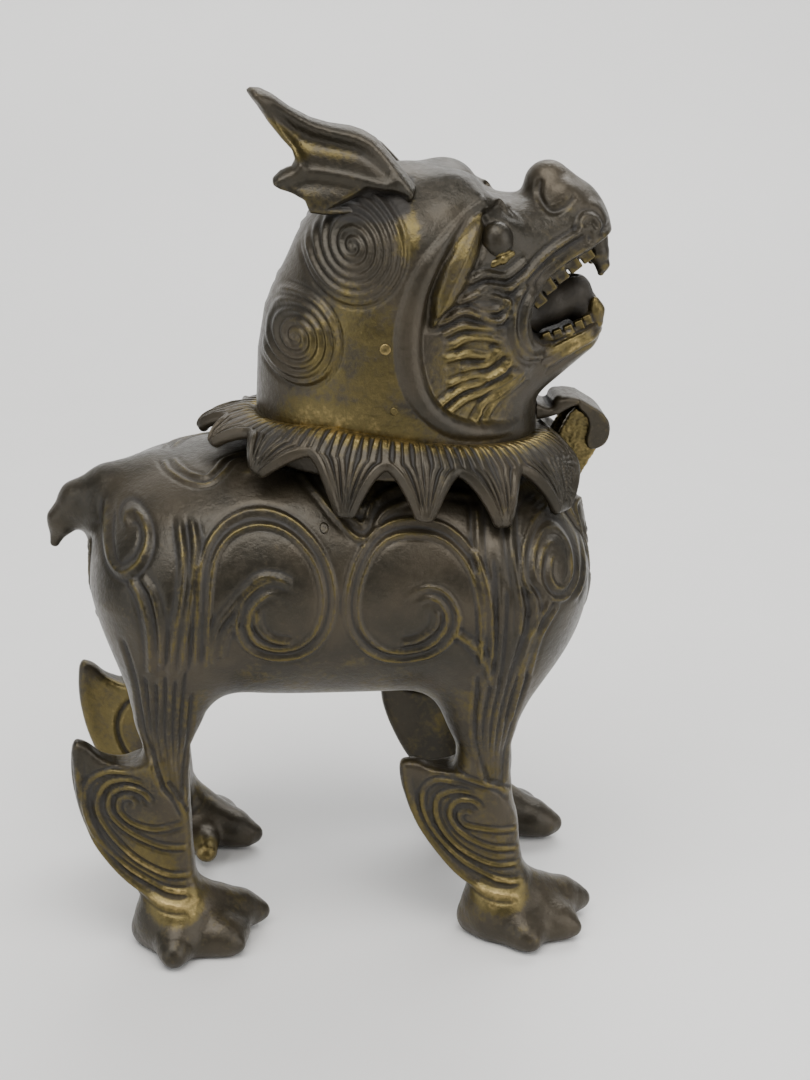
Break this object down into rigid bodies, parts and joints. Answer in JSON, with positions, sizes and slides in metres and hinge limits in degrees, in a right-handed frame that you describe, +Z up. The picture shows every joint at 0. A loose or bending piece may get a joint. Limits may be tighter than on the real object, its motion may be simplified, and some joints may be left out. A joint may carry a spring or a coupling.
{
  "type": "foo dog censer",
  "caption": "Hollow cast-bronze foo dog incense burner on four finned legs, with an open-mouthed head hinged at the chest as its lid.",
  "frame": {"origin": "on the floor, under the middle of the animal's length", "axes": "+X towards the animal's face, +Z up, +Y to the animal's left; the XZ plane is its plane of symmetry"},
  "size_m": [0.115, 0.0728, 0.175],
  "materials": {
    "patina_bronze": "satin dark brown patina, rubbed through to brass on the high edges",
    "worn_brass": "aged unlacquered brass with dark deposits in the hollows"
  },
  "bodies": {
    "body": {"vessel": "patina_bronze", "leg_front_right": "patina_bronze", "leg_front_left": "patina_bronze", "leg_hind_right": "patina_bronze", "leg_hind_left": "patina_bronze", "tail": "patina_bronze", "bracket_cheek_right": "worn_brass", "bracket_cheek_left": "worn_brass", "bracket_back": "worn_brass", "hinge_pin": "worn_brass", "flank_plug_right": "patina_bronze", "flank_plug_left": "patina_bronze"},
    "head": {"head_shell": "patina_bronze", "lower_jaw": "patina_bronze", "tongue": "patina_bronze", "upper_teeth": "worn_brass", "lower_teeth": "worn_brass", "fang_right": "worn_brass", "fang_left": "worn_brass", "ear_right": "patina_bronze", "ear_left": "patina_bronze", "eye_right": "patina_bronze", "eye_left": "patina_bronze", "mane_collar": "patina_bronze", "hinge_strap": "patina_bronze", "neck_plug_upper_right": "patina_bronze", "neck_plug_lower_right": "patina_bronze", "neck_plug_upper_left": "patina_bronze", "neck_plug_lower_left": "patina_bronze"}
  },
  "joints": [
    {"name": "head_hinge", "type": "hinge", "parent": "body", "child": "head", "pos_m": [0.054, 0, 0.104], "axis": [0, 1, 0], "range_deg": [0, 95]}
  ]
}
